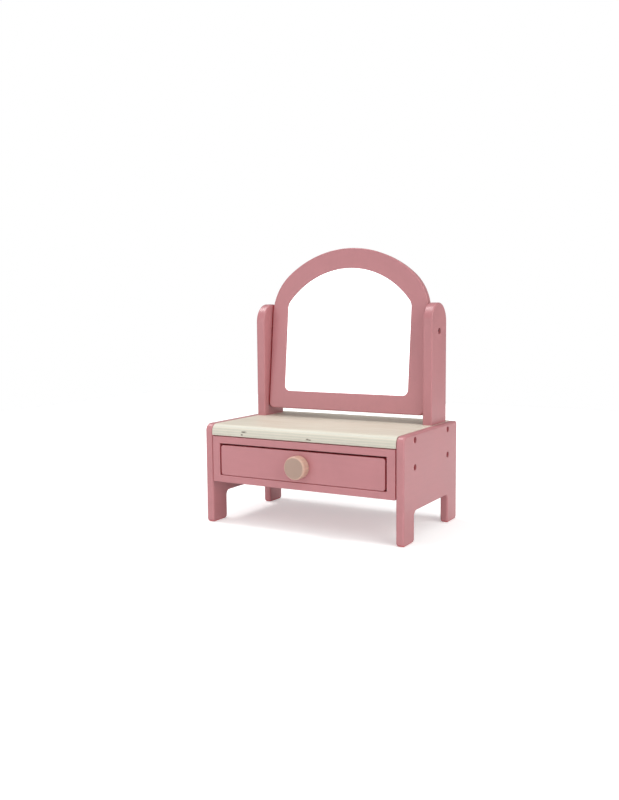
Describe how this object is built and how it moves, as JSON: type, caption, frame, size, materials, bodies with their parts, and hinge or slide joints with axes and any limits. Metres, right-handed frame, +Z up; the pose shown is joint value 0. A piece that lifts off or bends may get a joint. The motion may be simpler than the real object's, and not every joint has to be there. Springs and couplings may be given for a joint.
{
  "type": "table-top dressing table",
  "caption": "Low table-top dressing table with short legs, a wide drawer, a natural wood top and an arched mirror tilting between two round-topped posts.",
  "frame": {"origin": "on the floor, under the middle of the whole object's box, drawer knob included", "axes": "+X to the right as one faces the drawer, +Y to the back, +Z up"},
  "size_m": [0.3, 0.1948, 0.3811],
  "materials": {
    "pink_paint": "satin dusty-pink paint on board",
    "top_wood": "pale natural wood, clear matt lacquer",
    "knob_wood": "natural beech, lacquered",
    "drawer_wood": "bare pale plywood",
    "dowel_wood": "bare beech",
    "fibreboard": "brown hardboard",
    "mirror_sheet": "silvered plastic sheet",
    "plated_steel": "zinc plated",
    "dark_steel": "black oxide",
    "washer_fibre": "dark red fibre"
  },
  "bodies": {
    "carcass": {"left_side_panel": "pink_paint", "right_side_panel": "pink_paint", "tabletop": "top_wood", "drawer_surround": "pink_paint", "left_casing_side": "pink_paint", "right_casing_side": "pink_paint", "bay_floor": "pink_paint", "back_panel": "pink_paint", "left_post": "pink_paint", "right_post": "pink_paint", "side_panel_screws": "dark_steel", "post_screws": "plated_steel", "back_panel_screws": "plated_steel", "surround_dowels": "dowel_wood", "floor_dowels": "dowel_wood"},
    "mirror": {"mirror_frame": "pink_paint", "mirror_pane": "mirror_sheet", "mirror_backing": "fibreboard", "backing_screws": "plated_steel", "left_pivot_screw": "dark_steel", "right_pivot_screw": "dark_steel", "pivot_washers": "washer_fibre"},
    "drawer": {"drawer_front": "pink_paint", "left_drawer_side": "drawer_wood", "right_drawer_side": "drawer_wood", "drawer_back": "drawer_wood", "drawer_bottom": "drawer_wood", "drawer_bottom_pins": "plated_steel", "drawer_knob": "knob_wood", "knob_screw": "plated_steel", "drawer_front_dowels": "dowel_wood", "drawer_back_screws": "plated_steel"}
  },
  "joints": [
    {"name": "mirror_tilt", "type": "hinge", "parent": "carcass", "child": "mirror", "pos_m": [0, 0.0577, 0.2643], "axis": [1, 0, 0], "continuous": true},
    {"name": "drawer_slide", "type": "slide", "parent": "carcass", "child": "drawer", "axis": [0, -1, 0], "range_m": [0, 0.12]}
  ]
}
